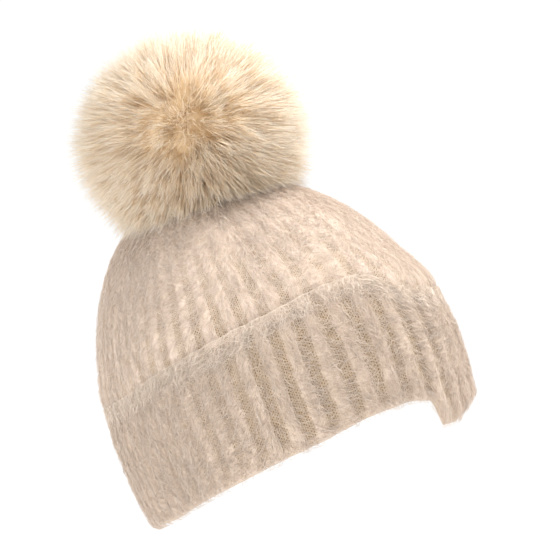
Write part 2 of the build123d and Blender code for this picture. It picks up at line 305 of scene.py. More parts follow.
def loft(name, rings, material, body, wraps=False):
    """A closed surface through closed rings of points, in mm. It either wraps round to its first ring
    or is closed by a fan at both ends."""
    rings = np.asarray(rings, float)
    rows, cols = rings.shape[:2]
    grid = np.meshgrid(np.arange(rows if wraps else rows - 1), np.arange(cols), indexing="ij")
    row, col = (index.ravel() for index in grid)
    row_2, col_2 = (row + 1) % rows, (col + 1) % cols
    quads = np.stack([row * cols + col, row * cols + col_2, row_2 * cols + col_2, row_2 * cols + col], 1)
    across = np.stack([col, col + 1, col + 1, col], 1) / cols
    along = np.stack([row, row, row + 1, row + 1], 1) / rows
    verts = rings.reshape(-1, 3)
    faces = [quads]
    uv = [np.stack([across, along], -1).reshape(-1, 2)]
    if not wraps:
        verts = np.concatenate([verts, rings[:1].mean(1), rings[-1:].mean(1)])
        col = np.arange(cols)
        beside = (col + 1) % cols
        top_row = (rows - 1) * cols
        first, last = rows * cols, rows * cols + 1
        faces.append(np.stack([beside, col, np.full(cols, first)], 1))
        faces.append(np.stack([top_row + col, top_row + beside, np.full(cols, last)], 1))
        low = np.stack([(col + 1) / cols, col / cols, (col + 0.5) / cols], 1)
        high = np.stack([col / cols, (col + 1) / cols, (col + 0.5) / cols], 1)
        top = (rows - 1) / rows
        uv.append(np.stack([low, np.tile([0.0, 0.0, 0.0005], (cols, 1))], -1).reshape(-1, 2))
        uv.append(np.stack([high, np.tile([top, top, top + 0.5 / rows], (cols, 1))], -1).reshape(-1, 2))
    piece = make_mesh(name, verts, faces, {"OFBake": np.concatenate(uv)}, material)
    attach(piece, body)
    return piece


def tube_rings(path, radius, sides, closed):
    """Rings of points round a path, in mm. radius is one number or one for each point."""
    path = np.asarray(path, float)
    if closed:
        tangent = np.roll(path, -1, 0) - np.roll(path, 1, 0)
    else:
        tangent = np.gradient(path, axis=0)
    tangent /= np.linalg.norm(tangent, axis=1, keepdims=True)
    helper = np.where(np.abs(tangent[:, 2:]) > 0.8, [[1.0, 0, 0]], [[0, 0, 1.0]])
    across = np.cross(tangent, helper)
    across /= np.linalg.norm(across, axis=1, keepdims=True)
    other = np.cross(tangent, across)
    angle = np.arange(sides) * 2 * np.pi / sides
    ring = across[:, None] * np.cos(angle)[:, None] + other[:, None] * np.sin(angle)[:, None]
    return path[:, None] + ring * np.broadcast_to(radius, len(path))[:, None, None]


def strands(name, paths, radii, tone, rng, material, body, pieces):
    """Hair: closed three-sided tubes that end in a point, in several pieces on one body.
    paths is (hairs, points, 3) and radii (hairs, points - 1), in mm. Each hair's UVs have its tone as
    u and its length from root to tip as v."""
    made = []
    count, points = paths.shape[:2]
    tangent = np.gradient(paths, axis=1)
    tangent /= np.linalg.norm(tangent, axis=2, keepdims=True) + 1e-9
    side = rng.normal(size=(count, 1, 3))
    across = np.cross(tangent, side)
    across /= np.linalg.norm(across, axis=2, keepdims=True) + 1e-9
    other = np.cross(tangent, across)
    turns = np.arange(3) * 2 * np.pi / 3
    ring = across[:, :-1, None] * np.cos(turns)[:, None] + other[:, :-1, None] * np.sin(turns)[:, None]
    rings = paths[:, :-1, None] + ring * radii[:, :, None, None]
    per = 3 * (points - 1) + 1
    verts = np.concatenate([rings.reshape(count, -1, 3), paths[:, -1:]], 1)
    quads, tris = [], [(2, 1, 0)]
    for k in range(points - 2):
        for s in range(3):
            n = (s + 1) % 3
            quads.append((3 * k + s, 3 * k + n, 3 * k + 3 + n, 3 * k + 3 + s))
    for s in range(3):
        tris.append((3 * (points - 2) + s, 3 * (points - 2) + (s + 1) % 3, per - 1))
    quads, tris = np.array(quads), np.array(tris)
    along = np.r_[np.repeat(np.arange(points - 1), 3), points - 1] / (points - 1)
    lift = np.r_[np.tile(np.arange(3), points - 1), 1] * 0.004
    share = np.array_split(np.arange(count), pieces)
    for number, chosen in enumerate(share):
        n = len(chosen)
        start = (np.arange(n) * per)[:, None, None]
        u = tone[chosen][:, None] * 0.98 + lift[None]
        uv = np.stack([u, np.broadcast_to(0.01 + 0.98 * along, u.shape)], -1)
        uv_q = uv[:, quads.ravel()].reshape(-1, 2)
        uv_t = uv[:, tris.ravel()].reshape(-1, 2)
        piece = make_mesh(
            f"{name}_{number + 1}" if pieces > 1 else name,
            verts[chosen].reshape(-1, 3),
            [(quads[None] + start).reshape(-1, 4), (tris[None] + start).reshape(-1, 3)],
            {"OFBake": np.concatenate([uv_q, uv_t])},
            material,
        )
        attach(piece, body)
        made.append(piece)
    return made


# ---------------------------------------------------------------- materials


class Surface:
    """A node-based material and short calls for its nodes."""

    def __init__(self, name, roughness, sheen=0.0, sheen_tint=(1, 1, 1, 1), metallic=0.0, specular=0.5):
        self.material = bpy.data.materials.new(name)
        self.material.use_nodes = True
        self.tree = self.material.node_tree
        self.shader = self.tree.nodes["Principled BSDF"]
        self.shader.inputs["Roughness"].default_value = roughness
        self.shader.inputs["Sheen Weight"].default_value = sheen
        self.shader.inputs["Sheen Roughness"].default_value = 0.6
        self.shader.inputs["Sheen Tint"].default_value = sheen_tint
        self.shader.inputs["Metallic"].default_value = metallic
        self.shader.inputs["Specular IOR Level"].default_value = specular

    def put(self, node, socket, value):
        if isinstance(value, bpy.types.NodeSocket):
            self.tree.links.new(value, node.inputs[socket])
        else:
            node.inputs[socket].default_value = value

    def math(self, operation, a, b=0.0, clamp=False):
        node = self.tree.nodes.new("ShaderNodeMath")
        node.operation = operation
        node.use_clamp = clamp
        self.put(node, 0, a)
        self.put(node, 1, b)
        return node.outputs[0]

    def span(self, value, low, high, to_low=0.0, to_high=1.0, smooth=True):
        node = self.tree.nodes.new("ShaderNodeMapRange")
        node.interpolation_type = "SMOOTHSTEP" if smooth else "LINEAR"
        for socket, number in zip(range(5), (value, low, high, to_low, to_high)):
            self.put(node, socket, number)
        return node.outputs[0]

    def uv(self, layer):
        node = self.tree.nodes.new("ShaderNodeUVMap")
        node.uv_map = layer
        split = self.tree.nodes.new("ShaderNodeSeparateXYZ")
        self.tree.links.new(node.outputs[0], split.inputs[0])
        return split.outputs[0], split.outputs[1]

    def place(self, scale=(1, 1, 1)):
        """Object coordinates, scaled."""
        where = self.tree.nodes.new("ShaderNodeTexCoord")
        node = self.tree.nodes.new("ShaderNodeMapping")
        self.tree.links.new(where.outputs["Object"], node.inputs[0])
        node.inputs["Scale"].default_value = scale
        return node.outputs[0]

    def noise(self, vector, scale, detail=3.0, roughness=0.55, twist=0.0):
        node = self.tree.nodes.new("ShaderNodeTexNoise")
        self.put(node, "Vector", vector)
        self.put(node, "Scale", scale)
        self.put(node, "Detail", detail)
        self.put(node, "Roughness", roughness)
        self.put(node, "Distortion", twist)
        return node.outputs["Fac"]

    def mix(self, amount, a, b, kind="MIX"):
        node = self.tree.nodes.new("ShaderNodeMix")
        node.data_type = "RGBA"
        node.blend_type = kind
        self.put(node, 0, amount)
        self.put(node, 6, a)
        self.put(node, 7, b)
        return node.outputs[2]

    def ramp(self, value, stops):
        node = self.tree.nodes.new("ShaderNodeValToRGB")
        line = node.color_ramp
        line.elements[0].position, line.elements[0].color = stops[0]
        line.elements[1].position, line.elements[1].color = stops[-1]
        for position, colour in stops[1:-1]:
            line.elements.new(position).color = colour
        self.put(node, 0, value)
        return node.outputs[0]

    def colour(self, value):
        self.put(self.shader, "Base Color", value)

    def bump(self, height, distance, strength=1.0):
        node = self.tree.nodes.new("ShaderNodeBump")
        self.put(node, "Height", height)
        node.inputs["Distance"].default_value = distance
        node.inputs["Strength"].default_value = strength
        self.tree.links.new(node.outputs[0], self.shader.inputs["Normal"])


def rgb(red, green, blue):
    """A colour given as it looks on screen, 0 to 255."""
    values = [v / 255 for v in (red, green, blue)]
    return tuple(v / 12.92 if v <= 0.04045 else ((v + 0.055) / 1.055) ** 2.4 for v in values) + (1.0,)


# Painted shade for the knit's stitches: tan in the gaps between the stitches' legs, brown in the holes
# between stitches.
STITCH_GAP_SHADE = rgb(186, 162, 132)
STITCH_HOLE_SHADE = rgb(104, 74, 46)
HAIR_SHADE = rgb(188, 152, 108)


def knit_material(name, ridge, ridge_shade, hollow):
    """Brushed rib knit: felted pink-beige ribs, and grooves where the stitches show, painted darker partly
    as the bare yarn and partly as shade, with painted shade in the holes between stitches and between their
    legs.
    """
    s = Surface(name, roughness=0.95, sheen=0.2, sheen_tint=(1.0, 0.95, 0.92, 1), specular=0.1)
    u, v = s.uv("Knit")
    shown_here = s.uv("Open")[0]
    wide = s.place()
    wave = s.math("COSINE", s.math("MULTIPLY", u, 2 * math.pi))
    fray = s.math("SUBTRACT", s.noise(wide, 420, 2), 0.5)
    frayed = s.math("ADD", wave, s.math("MULTIPLY", fray, 1.6))
    groove = s.span(frayed, 0.25, -0.55)
    aside = s.math("ABSOLUTE", s.math("SUBTRACT", s.math("FRACT", s.math("MULTIPLY", u, WALES)), 0.5))
    row = s.math("SUBTRACT", s.math("DIVIDE", v, COURSE), s.math("MULTIPLY", aside, 1.5))
    row = s.math("ADD", row, s.math("MULTIPLY", s.noise(wide, 200, 1), 0.9))
    leg = s.math("ADD", s.math("MULTIPLY", s.math("SINE", s.math("MULTIPLY", row, 2 * math.pi)), 0.5), 0.5)
    strand = s.math("SINE", s.math("MULTIPLY", aside, 2 * math.pi))
    between = s.math("SUBTRACT", 1.0, s.math("MULTIPLY", strand, 0.75))
    hole = s.math("MULTIPLY", s.math("SUBTRACT", 1.0, leg), between)
    felt = s.span(s.noise(wide, 75, 3, 0.6, 0.4), 0.42, 0.64)
    clear = s.math("SUBTRACT", s.math("MULTIPLY", shown_here, 1.35), s.math("MULTIPLY", felt, 0.55))
    shown = s.math("MULTIPLY", groove, s.math("MAXIMUM", clear, 0.0), clamp=True)
    depth = s.math("ADD", s.math("MULTIPLY", shown, 0.9), 0.1)
    hole_shade = s.math("MULTIPLY", s.span(hole, 0.25, 0.75), depth)
    base = s.mix(s.span(s.noise(wide, 150, 4, 0.65, 0.5), 0.35, 0.65), ridge, ridge_shade)
    # The hollow colour paints the grooves, partly as the bare yarn and partly as painted shade in the
    # recess.
    base = s.mix(s.math("MULTIPLY", shown, 0.8), base, hollow)
    # Painted shade in the gaps between the stitches' legs.
    base = s.mix(s.math("MULTIPLY", s.math("SUBTRACT", 1.0, strand), 0.16), base, STITCH_GAP_SHADE)
    # Painted shade in the holes between stitches.
    s.colour(s.mix(hole_shade, base, STITCH_HOLE_SHADE))
    relief = s.math("SUBTRACT", s.math("MULTIPLY", s.noise(wide, 1100, 3), 0.6), hole_shade)
    s.bump(relief, 0.0006, 0.6)
    return s.material


def hair_material(name, stops, dark_share, roughness, sheen):
    """Hair: coloured from root to tip along the UV's v, and lighter or darker along its u."""
    s = Surface(name, roughness=roughness, sheen=sheen, sheen_tint=(1.0, 0.95, 0.88, 1), specular=0.2)
    tone, along = s.uv("OFBake")
    base = s.ramp(along, stops)
    s.colour(s.mix(s.span(tone, 0.0, 1.0, dark_share, 0.0, False), base, HAIR_SHADE, "MULTIPLY"))
    return s.material


def speckled_material(name, light, dark, scale, roughness, bump, metallic=0.0, stretch=(1, 1, 1),
                      sheen=0.0):
    """A surface that varies between two colours, with a fine relief of the same pattern."""
    specular = 0.5 if metallic else 0.2
    s = Surface(name, roughness=roughness, metallic=metallic, sheen=sheen, specular=specular)
    pattern = s.noise(s.place(stretch), scale, 4, 0.6)
    s.colour(s.mix(s.span(pattern, 0.3, 0.7), light, dark))
    s.bump(pattern, bump, 0.7)
    return s.material


# One wool in two copies: the body's is painted lighter, as light from above, and the cuff's darker, as
# painted shade lower down.
KNIT_BODY_LIT = knit_material("knit_body_wool_painted_light", rgb(230, 212, 197), rgb(214, 195, 176), rgb(190, 167, 138))
KNIT_CUFF_SHADED = knit_material("knit_cuff_wool_painted_shade", rgb(212, 194, 178), rgb(195, 176, 157), rgb(176, 154, 126))
# One angora fibre in three copies: the cuff's is painted darker as shade, the body's lighter as light from
# above, and the lip's lightest as a painted light band along the cuff's lip.
CUFF_FUZZ_SHADED = hair_material(
    "angora_cuff_painted_shade", [(0.0, rgb(211, 194, 179)), (1.0, rgb(243, 230, 217))],
    dark_share=0.35, roughness=0.8, sheen=0.3,
)
LIP_FUZZ_LIT = hair_material(
    "angora_lip_painted_light", [(0.0, rgb(238, 221, 204)), (1.0, rgb(254, 243, 230))],
    dark_share=0.2, roughness=0.8, sheen=0.3,
)
BODY_FUZZ_LIT = hair_material(
    "angora_body_painted_light", [(0.0, rgb(218, 201, 186)), (1.0, rgb(246, 234, 222))],
    dark_share=0.25, roughness=0.8, sheen=0.3,
)
FUR = hair_material(
    "fox_fur",
    [
        (0.0, rgb(216, 182, 136)), (0.4, rgb(242, 210, 164)),
        (0.7, rgb(251, 224, 182)), (1.0, rgb(252, 231, 198)),
    ],
    dark_share=0.26, roughness=0.65, sheen=0.1,
)
# Some of the light passes through the fur's hairs.
FUR_SHADER = FUR.node_tree.nodes["Principled BSDF"].inputs
FUR_SHADER["Subsurface Weight"].default_value = 0.6
FUR_SHADER["Subsurface Radius"].default_value = (1.0, 0.85, 0.65)
FUR_SHADER["Subsurface Scale"].default_value = 0.0015
UNDERFUR = speckled_material(
    "fox_underfur", rgb(222, 196, 158), rgb(196, 166, 126), 160, 0.95, 0.002, sheen=0.2
)
YARN = speckled_material("seam_yarn", rgb(222, 200, 180), rgb(196, 170, 146), 900, 0.9, 0.0004, sheen=0.3)
FELT = speckled_material(
    "washer_felt", rgb(206, 190, 170), rgb(178, 160, 140), 1400, 0.95, 0.0005, sheen=0.4
)
THREAD = speckled_material(
    "sewing_thread", rgb(205, 184, 158), rgb(176, 152, 124), 1800, 0.7, 0.0002, sheen=0.2
)
RIBBON = speckled_material(
    "label_ribbon", rgb(242, 240, 235), rgb(226, 223, 216), 2600, 0.45, 0.0001, stretch=(1, 1, 0.2)
)
NICKEL = speckled_material(
    "nickel", (0.66, 0.65, 0.62, 1), (0.52, 0.51, 0.49, 1), 700, 0.28, 0.00004,
    metallic=1.0, stretch=(1, 1, 5),
)
BRASS = speckled_material(
    "spring_brass", (0.76, 0.62, 0.36, 1), (0.6, 0.47, 0.25, 1), 900, 0.32, 0.00004, metallic=1.0
)
DISC = speckled_material("disc_plastic", rgb(216, 198, 172), rgb(206, 187, 160), 1200, 0.5, 0.00008)
SUEDE = speckled_material("pelt_suede", rgb(226, 206, 178), rgb(202, 176, 142), 800, 0.9, 0.0004, sheen=0.3)
FILLING = speckled_material(
    "polyester_filling", rgb(246, 245, 240), rgb(226, 224, 218), 300, 0.9, 0.0015, sheen=0.4
)

# ---------------------------------------------------------------- knitted pieces

COLUMNS = RIBS * 12          # points round the hat
TURN = np.arange(COLUMNS) / COLUMNS


def knit_piece(name, rows, node, material):
    """A knitted surface. rows is a list of (run, distance outwards, height along the knit, openness)."""
    points = np.stack([on_hat(TURN, run, out) for run, out, _, _ in rows])
    along = np.array([height for _, _, height, _ in rows])
    shown = np.stack([np.broadcast_to(seen, COLUMNS) for _, _, _, seen in rows])
    knit_u = np.stack([rib_at(TURN, height) for height in along])
    steps = np.linalg.norm(points - np.roll(points, -1, 0), axis=2).mean(1)
    bake_v = np.r_[0, np.cumsum(steps)[:-1]] / steps.sum()
    faces, layers = ring_grid(points, knit_u, along, shown, bake_v)
    piece = make_mesh(name, points.reshape(-1, 3), [faces], layers, material)
    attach(piece, "hat")
    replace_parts(piece, node)
    return piece


def body_rows():
    """The body's section: up its outside from the fold to the crown, and back down its inside."""
    bottom = at_height(TURN, FOLD, 5.5)
    rows = []
    for t in np.linspace(0, 1, 118) ** 0.93:
        run = bottom + t * (TOP_RUN - bottom)
        rows.append((run, body_out(TURN, run), t * (TOP_RUN - 20), openness_body(TURN, run)))
    for t in np.linspace(1, 0, 46):
        run = bottom + t * (TOP_RUN - bottom)
        inner = -KNIT - 0.45 * rib(rib_at(TURN, run) + 0.5) * (1 - step(run, TOP_RUN - 45, TOP_RUN - 20))
        rows.append((run, inner, t * (TOP_RUN - 20), 0.6))
    return rows


def cuff_rows():
    """The cuff's section: outside, lip, the side against the body, and the fold at the brim."""
    rows = []
    low = 4.5
    high = CUFF_HEIGHT - 2.6

    def row(out, height, along):
        run = at_height(TURN, height, np.clip(3 - out, 0, None))
        rows.append((run, out, along, openness_cuff(TURN, min(along, CUFF_HEIGHT))))

    for height in np.linspace(low, high, 56):
        row(cuff_out(TURN, height), height, height)
    top = cuff_out(TURN, high)
    middle = (top + CUFF_GAP) / 2
    half = (top - CUFF_GAP) / 2
    for a in np.linspace(0, math.pi, 9)[1:]:
        row(middle + half * math.cos(a), high + 2.8 * math.sin(a), high + 2 * a)
    for height in np.linspace(CUFF_HEIGHT - 6, FOLD, 16):
        row(np.full(COLUMNS, float(CUFF_GAP)), height, 64 + CUFF_HEIGHT - height)
    row(np.full(COLUMNS, -KNIT + 0.1), FOLD, 124)
    outer = cuff_out(TURN, low)
    inner = -KNIT - 0.3 * rib(rib_at(TURN, 0.0) + 0.5)
    centre, reach = (outer + inner) / 2, (outer - inner) / 2
    for a in np.linspace(math.pi, 2 * math.pi, 17)[:-1]:
        row(centre + reach * math.cos(a), low + (low + 0.3) * math.sin(a), 126 + 3 * (a - math.pi))
    return rows


# The body takes the wool's painted-light copy and the cuff its painted-shade copy.
body = knit_piece("knit_body_ribbed", body_rows(), "knit_body", KNIT_BODY_LIT)
cuff = knit_piece("turn_up_cuff_ribbed", cuff_rows(), "turn_up_cuff", KNIT_CUFF_SHADED)

# ---------------------------------------------------------------- angora fuzz on the knit

SWIRL = waves(14, 8, 6, 0.06)        # turns the fibres in patches
SPOTS = waves(15, 16, 80, 0.8)       # wears them off in spots in the grooves
BODY_FUZZ_START = run_at_height(56)


def fuzz_on(name, seed, count, low, high, is_cuff, material, pieces, length, lift, radius,
            aim=-math.pi / 2):
    """Short fibres that lie on the knit and lift a little at their tips. They start between low and
    high, which are heights above the brim on the cuff and runs on the body. aim is the angle that most
    of them head in, from sideways up."""
    rng = np.random.default_rng(seed)
    turn = rng.uniform(0, 1, count)
    level = rng.uniform(low, high, count)
    crest = rib(rib_at(turn, level))
    shown = openness_cuff(turn, level) if is_cuff else openness_body(turn, level)
    worn = (0.5 - 0.5 * crest) * (0.5 * shown + 0.4 * step(SPOTS(turn, level), 0.1, 1.1))
    keep = rng.uniform(0, 1, count) < 1 - worn
    turn, level = turn[keep], level[keep]
    n = len(turn)
    heading = aim + 1.1 * SWIRL(turn, level) + rng.normal(0, 0.5, n)
    size = length * rng.uniform(0.5, 1.3, n)
    bend = rng.normal(0, 0.6, n)
    tall = lift * rng.uniform(0.2, 1.25, n) ** 2
    paths = []
    for t in np.linspace(0, 1, 5):
        way = heading + bend * t
        sideways = size * t * np.cos(way) / GIRTH
        upwards = size * t * np.sin(way)
        off = -0.2 + (tall + 0.3) * math.sin(math.pi * min(0.15 + 0.62 * t, 0.75))
        if is_cuff:
            at = np.clip(level + upwards, -1.6, CUFF_HEIGHT + 1.5)
            run = at_height(turn + sideways, at)
            out = cuff_out(turn + sideways, at) + off - 0.9 * np.clip(1.2 - at, 0, None)
        else:
            run = np.clip(level + upwards, 10, TOP_RUN - 14)
            out = body_out(turn + sideways, run) + off
        paths.append(on_hat(turn + sideways, run, out))
    paths = np.stack(paths, 1)
    taper = np.array([0.7, 1.0, 0.85, 0.55])
    radii = radius * rng.uniform(0.7, 1.25, n)[:, None] * taper
    strands(name, paths, radii, rng.uniform(0, 1, n), rng, material, "hat", pieces)


# The cuff's fibres take the painted-shade copy, and the lip's and the body's fibres take the painted-light
# copies.
fuzz_on("cuff_fuzz", seed=21, count=42000, low=1.5, high=CUFF_HEIGHT, is_cuff=True,
        material=CUFF_FUZZ_SHADED, pieces=5, length=8.0, lift=1.1, radius=0.085)
fuzz_on("cuff_lip_fuzz", seed=23, count=13000, low=CUFF_HEIGHT - 9, high=CUFF_HEIGHT + 1, is_cuff=True,
        material=LIP_FUZZ_LIT, pieces=2, length=7.0, lift=1.3, radius=0.08, aim=0.9)
fuzz_on("body_fuzz", seed=22, count=62000, low=BODY_FUZZ_START, high=TOP_RUN - 24, is_cuff=False,
        material=BODY_FUZZ_LIT, pieces=6, length=9.0, lift=1.2, radius=0.08)

# ---------------------------------------------------------------- fur pom pom

CROWN_HEIGHT = 148.0         # of the nearly flat top of the hat


def unit(v):
    """The same directions with a length of 1."""
    return v / (np.linalg.norm(v, axis=-1, keepdims=True) + 1e-9)


def spread_points(count, rng, jitter):
    """Directions spread evenly over a ball."""
    i = np.arange(count) + 0.5
    z = 1 - 2 * i / count
    a = math.pi * (1 + math.sqrt(5)) * i
    flat = np.sqrt(1 - z * z)
    p = np.stack([flat * np.cos(a), flat * np.sin(a), z], 1)
    return unit(p + rng.normal(0, jitter, p.shape))


def crown_height(x, y):
    """Height of the hat under each point."""
    z, reach, lean = profile_at(np.linspace(run_at_height(100), TOP_RUN - 20, 70))
    outside = np.sqrt((x[..., None] / WIDTH) ** 2 + (y[..., None] - lean) ** 2) > reach
    found = outside.any(-1)
    return z[outside.argmax(-1)] * found + CROWN_HEIGHT * ~found


WHORL = unit(np.array([-0.455, -0.87, 0.30]))    # the hair is combed away from this direction
LOPSIDED = np.array([0.3, -0.2, 1.0])            # adds to the hair's reach, mm
POM_WIDE = 60.3              # how far most of the hair reaches sideways
POM_TALL = 54.5              # and upwards
LOWEST_TIP = -0.66           # how far down hair may point, as the z of its direction


def oblate(way, wide, tall):
    """Distance from the middle to a flattened ball's surface in each direction."""
    return 1 / np.sqrt((way[..., 0] ** 2 + way[..., 1] ** 2) / wide**2 + way[..., 2] ** 2 / tall**2)


def fur_on(name, seed, count, clump_count, share, tip_spread, lean, clumping, width, points, pieces, dark):
    """Hair that grows from the pelt, combed away from the whorl and gathered into tufts."""
    rng = np.random.default_rng(seed)
    root = spread_points(count, rng, 0.01)
    root = root[root[:, 2] > -0.8]
    n = len(root)
    guides = spread_points(clump_count, rng, 0.02)
    owner = np.concatenate([np.argmax(part @ guides.T, 1) for part in np.array_split(root, 20)])

    def combed(way):
        """The ways that hair points in, turned from the whorl, and less so underneath and behind."""
        beside = way - WHORL * (way @ WHORL)[:, None]
        turn_away = np.clip(np.linalg.norm(beside, axis=1, keepdims=True) / 0.8, 0, 1)
        free = 1 - 0.85 * step(-way[:, 2:], -0.1, 0.45)
        free = free * (1 - step(-(way @ WHORL)[:, None], 0.1, 0.85))
        return unit(way + lean * turn_away * free * unit(beside))

    loose = 0.09 + 0.13 * step(guides @ WHORL, 0.7, 0.97)[:, None]
    guide_tip = combed(guides) + loose * rng.normal(0, 1, guides.shape)
    guide_reach = rng.normal(0, 1.3, clump_count)
    own_tip = combed(root) + rng.normal(0, 0.07, root.shape)
    flyaway = 5.0 * rng.uniform(0, 1, n) ** 5
    hold = clumping * rng.uniform(0.4, 1.0, n)[:, None]
    tip_way = unit(own_tip * (1 - hold) + guide_tip[owner] * hold)
    low = tip_way[:, 2] < LOWEST_TIP
    tip_way[low, 2] = LOWEST_TIP + rng.normal(0, 0.03, low.sum())
    tip_way = unit(tip_way)
    own_reach = share * oblate(tip_way, POM_WIDE, POM_TALL) + guide_reach[owner] + tip_way @ LOPSIDED
    own_reach += rng.normal(0, tip_spread, n) + flyaway + 3.0 * share * step(-tip_way[:, 2], 0.3, 0.62)
    curl = unit(np.cross(root, rng.normal(size=(n, 3)))) * rng.uniform(0, 1.0, n)[:, None]
    rest = 0.9 + 2.0 * rng.uniform(0, 1, n)
    paths = []
    for t in np.linspace(0, 1, points):
        way = unit(root * (1 - t**1.25) + tip_way * t**1.25)
        far = PELT_RADIUS - 0.5 + (own_reach - PELT_RADIUS + 0.5) * t**0.92
        p = POM_CENTRE + way * far[:, None] + curl * math.sin(math.pi * t) * 1.2
        p[:, 2] -= 1.5 * t * t * (1 - np.abs(way[:, 2]))
        p[:, 2] = np.maximum(p[:, 2], crown_height(p[:, 0], p[:, 1]) + rest)
        paths.append(p)
    paths = np.stack(paths, 1)
    taper = np.interp(np.linspace(0, 1, points)[:-1], [0, 0.4, 0.8, 1], [0.8, 1.0, 0.75, 0.25])
    radii = width * rng.uniform(0.75, 1.2, n)[:, None] * taper
    tone = np.clip(rng.normal(0.62 - dark, 0.2, n) + rng.normal(0, 0.13, clump_count)[owner], 0, 1)
    return strands(name, paths, radii, tone, rng, FUR, "pom", pieces)


def ball_rings(centre, rows, cols, low, reach_at):
    """Rings of points round a ball, from the tilt low up to its top. reach_at gives the distance from
    the centre in each direction."""
    tilt = np.linspace(low, math.pi / 2 - 0.02, rows)[:, None]
    turn = np.arange(cols)[None] * 2 * math.pi / cols
    way = np.stack([np.cos(tilt) * np.cos(turn), np.cos(tilt) * np.sin(turn), np.sin(tilt) + 0 * turn], -1)
    return centre + way * reach_at(way)[..., None]


def lumps(seed, count, sharpness):
    """A smooth lumpy pattern over directions, mostly between -1 and 1, the same each time."""
    rng = np.random.default_rng(seed)
    axes = unit(rng.normal(size=(count, 3))) * rng.uniform(0.5, 1.0, (count, 1)) * sharpness
    phase = rng.uniform(0, 2 * math.pi, count)
    return lambda way: np.sin(way @ axes.T + phase).sum(-1) / math.sqrt(count)


TUFTS = lumps(33, 24, 26)
under_rings = ball_rings(
    POM_CENTRE, 120, 240, -0.72, lambda way: 0.74 * oblate(way, POM_WIDE, POM_TALL) + 0.9 * TUFTS(way)
)
floor_under = crown_height(under_rings[..., 0], under_rings[..., 1]) + 1.4
under_rings[..., 2] = np.maximum(under_rings[..., 2], floor_under)
inner_rings = ball_rings(POM_CENTRE, 50, 240, -0.7, lambda way: np.full(way.shape[:-1], PELT_RADIUS + 0.3))
under_rings = np.concatenate([under_rings, inner_rings[::-1]])
underfur = loft("pom_fur_underfur", under_rings, UNDERFUR, "pom", wraps=True)
fur = fur_on("pom_fur_guard", seed=31, count=44000, clump_count=2400, share=0.99, tip_spread=2.0,
             lean=0.5, clumping=0.62, width=0.11, points=7, pieces=7, dark=0.0)
fur += fur_on("pom_fur_down", seed=32, count=18000, clump_count=1100, share=0.88, tip_spread=2.4,
              lean=0.35, clumping=0.5, width=0.13, points=5, pieces=3, dark=0.15)
for piece in fur + [underfur]:
    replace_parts(piece, "pom_fur")

# ---------------------------------------------------------------- inside the pom pom

PELT_THICKNESS = 1.2
CORE_RADIUS = 21.2
RECESS_TOP = 158.1           # of the hollow in the stuffing over the socket's cap
OPENING = 8.6                # radius of the pelt's opening
CORE_LUMPS = lumps(41, 30, 11)
DRAW_CORD_HEIGHT = 159.9
DRAW_CORD_RADIUS = 9.8       # of the ring that it makes
DRAW_CORD_PLY = 0.42


def pelt_rings():
    """The skin's section, up its outside from the opening and back down its inside."""
    rows = []
    a = np.arange(120) * 2 * math.pi / 120
    outside = (PELT_RADIUS, np.linspace(-1.17, 1.555, 60))
    inside = (PELT_RADIUS - PELT_THICKNESS, np.linspace(1.555, -1.15, 50))
    for radius, tilts in (outside, inside):
        for tilt in tilts:
            pucker = 1 + 0.05 * np.cos(22 * a) * float(step(-tilt, 0.75, 1.15))
            flat = radius * math.cos(tilt) * pucker
            z = np.full(len(a), radius * math.sin(tilt))
            rows.append(POM_CENTRE + np.stack([flat * np.cos(a), flat * np.sin(a), z], 1))
    return rows


def twisted_ring(height, ring_radius, ply_radius, turns, count):
    """Two plies of yarn twisted together round a ring over the crown, as two paths."""
    a = np.linspace(0, 2 * math.pi, count, endpoint=False)
    paths = []
    for start in (0, math.pi):
        flat = ring_radius + 0.9 * ply_radius * np.cos(turns * a + start)
        rise = 0.9 * ply_radius * np.sin(turns * a + start)
        paths.append(np.stack([flat * np.cos(a), CROWN_Y + flat * np.sin(a), height + rise], 1))
    return paths


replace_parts(loft("pom_pelt_skin", pelt_rings(), SUEDE, "pom", wraps=True), "pom_pelt")

core_rings = ball_rings(POM_CENTRE, 70, 120, -1.55, lambda way: CORE_RADIUS + 0.45 * CORE_LUMPS(way))
hollow = np.hypot(core_rings[..., 0], core_rings[..., 1] - CROWN_Y) < OPENING
core_rings[..., 2] = np.where(hollow, np.maximum(core_rings[..., 2], RECESS_TOP), core_rings[..., 2])
core = loft("pom_core_filling", core_rings, FILLING, "pom")
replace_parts(core, "pom_core")

for number, path in enumerate(twisted_ring(DRAW_CORD_HEIGHT, DRAW_CORD_RADIUS, DRAW_CORD_PLY, 26, 400)):
    rings = tube_rings(path, DRAW_CORD_PLY, 8, True)
    ply = loft(f"pelt_draw_cord_ply_{number + 1}", rings, THREAD, "pom", wraps=True)
    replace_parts(ply, "pelt_draw_cord")

# ---------------------------------------------------------------- inside the hat

SEAM_HALF_WIDTH = 2.3
SEAM_HALF_DEPTH = 1.5
LABEL_FOLD = 22.8            # from the seam to the start of the label's folded end
LABEL_HALF_GAP = 0.45        # from the label's middle to the middle of either layer
LABEL_LOW, LABEL_HIGH = 48.3, 75.7
LABEL_REST = math.radians(15)
LABEL_HINGE = np.array([0, 87.8, 0])
RIBBON_HALF = 0.17           # half of the ribbon's thickness
WASHER_SECTION = [
    (2.2, 141.8), (2.2, 143.5), (5, 143.7), (9, 143.65), (10.8, 143.4),
    (11, 142.7), (10.8, 141.9), (9, 141.6), (5, 141.6), (3, 141.7),
]
STITCHES = 12
STITCH_RADIUS = 0.4
GATHER_HEIGHT = 143.5
GATHER_RADIUS = 14.5         # of the ring that the yarn makes
GATHER_PLY = 0.6


